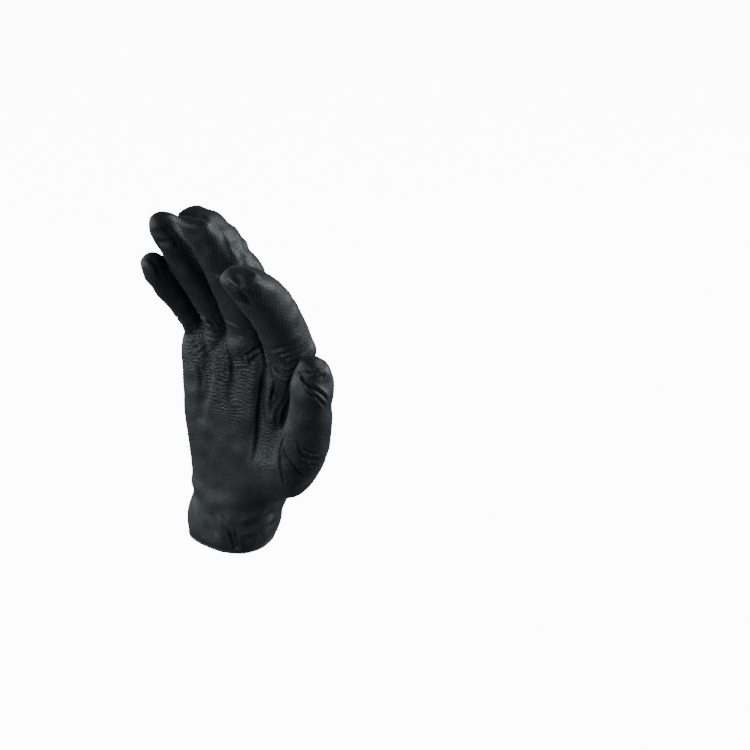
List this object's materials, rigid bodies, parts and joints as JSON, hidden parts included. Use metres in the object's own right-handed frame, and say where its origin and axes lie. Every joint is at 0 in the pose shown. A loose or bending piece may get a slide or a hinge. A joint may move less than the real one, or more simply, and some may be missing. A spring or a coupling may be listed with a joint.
{
  "type": "nitrile exam glove",
  "caption": "Thin nitrile examination glove for the right hand, hollow and open at its short cuff, in the relaxed, slightly curled form it has when worn.",
  "frame": {"origin": "centre of the cuff opening, in the plane of the rolled rim", "axes": "+Z from the cuff opening towards the fingertips, the palm faces -Y, the thumb is on the +X side"},
  "size_m": [0.117, 0.0726, 0.2221],
  "materials": {
    "nitrile_film": "satin"
  },
  "bodies": {
    "root": {"glove_film": "nitrile_film"}
  },
  "joints": []
}
